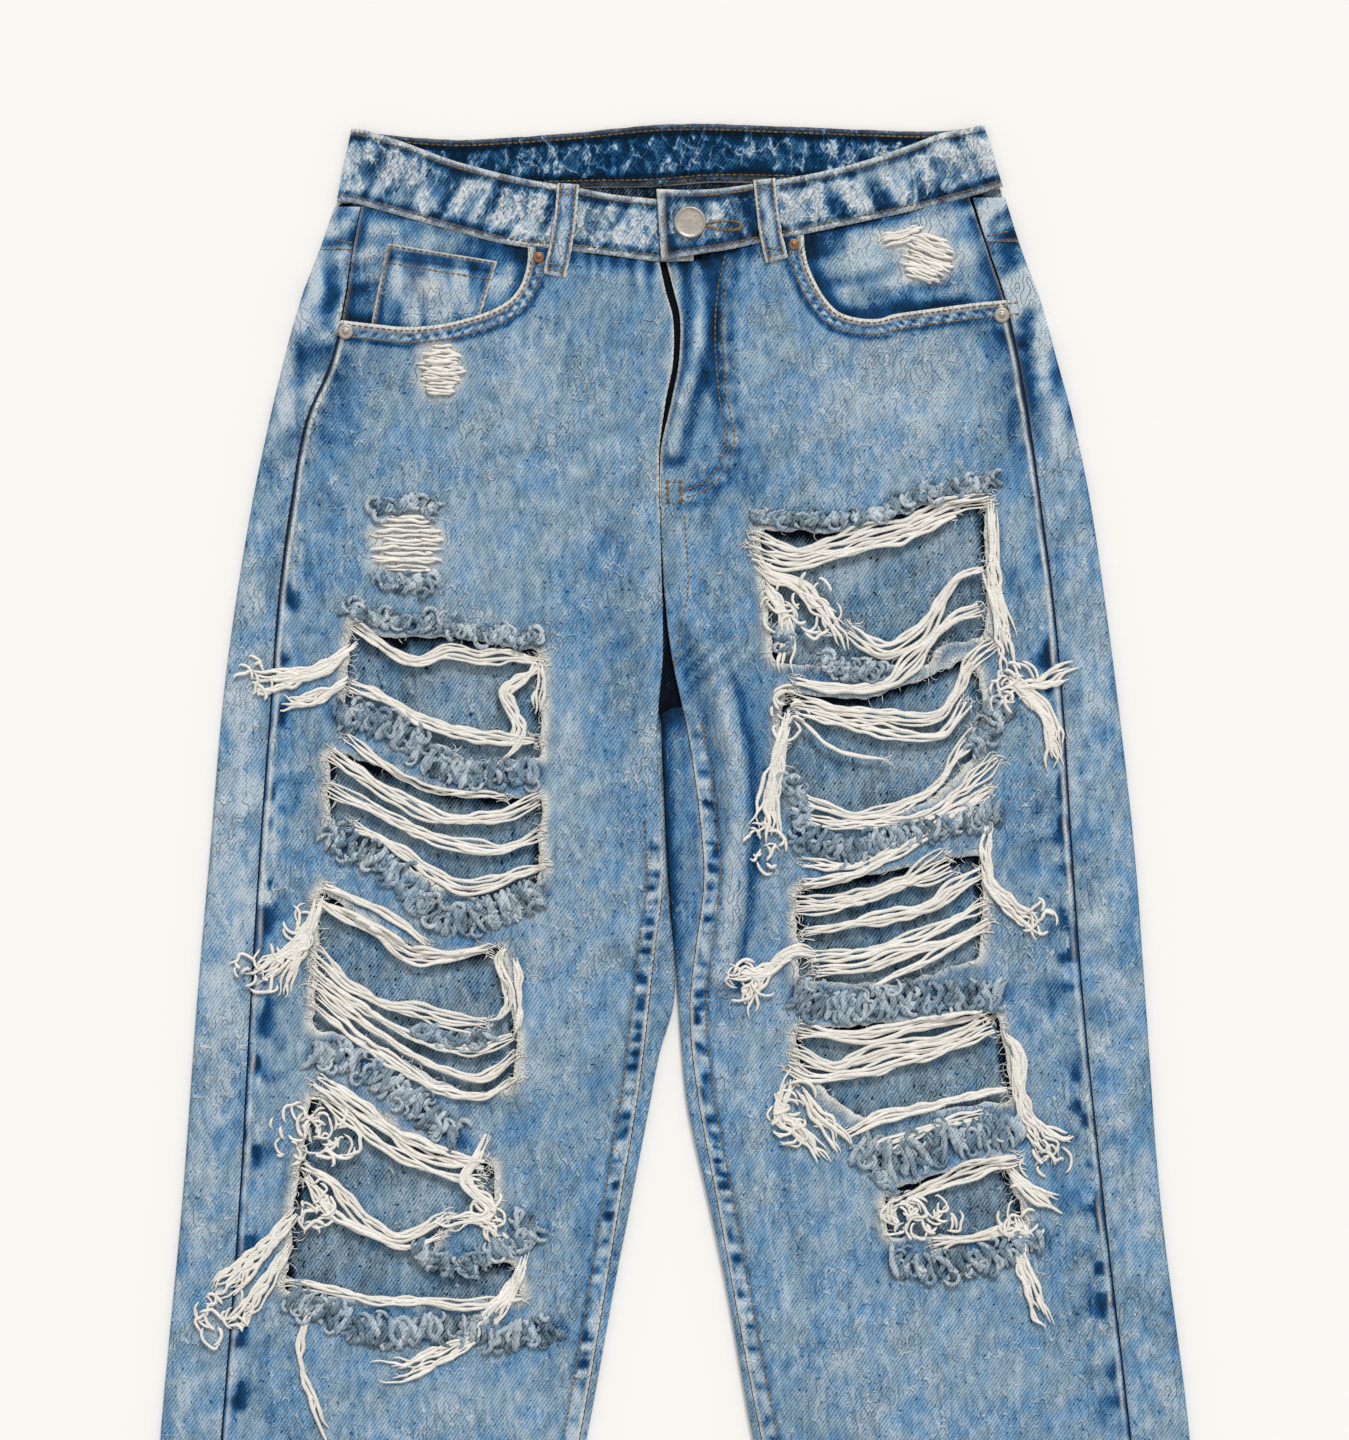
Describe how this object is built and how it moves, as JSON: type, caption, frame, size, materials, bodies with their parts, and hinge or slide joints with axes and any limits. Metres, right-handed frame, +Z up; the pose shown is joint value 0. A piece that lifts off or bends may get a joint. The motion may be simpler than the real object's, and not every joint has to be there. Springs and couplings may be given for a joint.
{
  "type": "ripped jeans",
  "caption": "High-rise jeans laid flat on their back with the front up: wide rips across both thighs, loose pale yarns and frayed edges.",
  "frame": {"origin": "on the surface the jeans lie on, under the middle of their footprint", "axes": "+Z up from the surface, through the back and then the front; +Y from the hems to the waist; +X to the wearer's left"},
  "size_m": [0.5812, 0.9804, 0.0147],
  "materials": {
    "denim": "washed mid-blue cotton twill, matt",
    "denim_inside": "dark blue twill, creased and abraded, matt",
    "frayed_denim": "grey-blue curled warp ends, matt",
    "yarn": "undyed cotton weft yarn, matt",
    "nickel": "aged nickel plate, satin",
    "copper": "antique copper plate, satin"
  },
  "bodies": {
    "root": {"back_panel_right": "denim", "yoke_right": "denim", "front_panel_right": "denim", "pocket_facing_right": "denim", "hem_right": "denim", "belt_loop_right": "denim", "rivet_outer_right": "nickel", "rivet_inner_right": "copper", "yarns_right_1": "yarn", "yarns_right_2": "yarn", "yarns_right_3": "yarn", "yarns_right_4": "yarn", "yarns_right_5": "yarn", "yarns_right_6": "yarn", "yarns_right_7": "yarn", "yarns_right_8": "yarn", "fray_right_1": "frayed_denim", "fray_right_2": "frayed_denim", "fray_right_3": "frayed_denim", "fray_right_4": "frayed_denim", "fray_right_5": "frayed_denim", "fray_right_6": "frayed_denim", "fray_right_7": "frayed_denim", "fray_right_8": "frayed_denim", "tuft_right_1": "yarn", "tuft_right_2": "yarn", "tuft_right_3": "yarn", "tuft_right_4": "yarn", "back_panel_left": "denim", "yoke_left": "denim", "front_panel_left": "denim", "pocket_facing_left": "denim", "hem_left": "denim", "belt_loop_left": "denim", "rivet_outer_left": "nickel", "rivet_inner_left": "copper", "yarns_left_1": "yarn", "yarns_left_2": "yarn", "yarns_left_3": "yarn", "yarns_left_4": "yarn", "yarns_left_5": "yarn", "yarns_left_6": "yarn", "yarns_left_7": "yarn", "yarns_left_8": "yarn", "fray_left_1": "frayed_denim", "fray_left_2": "frayed_denim", "fray_left_3": "frayed_denim", "fray_left_4": "frayed_denim", "fray_left_5": "frayed_denim", "fray_left_6": "frayed_denim", "fray_left_7": "frayed_denim", "tuft_left_1": "yarn", "tuft_left_2": "yarn", "tuft_left_3": "yarn", "tuft_left_4": "yarn", "coin_pocket": "denim", "fly_underlap": "denim_inside", "waistband": "denim_inside", "waist_button": "nickel"}
  },
  "joints": []
}
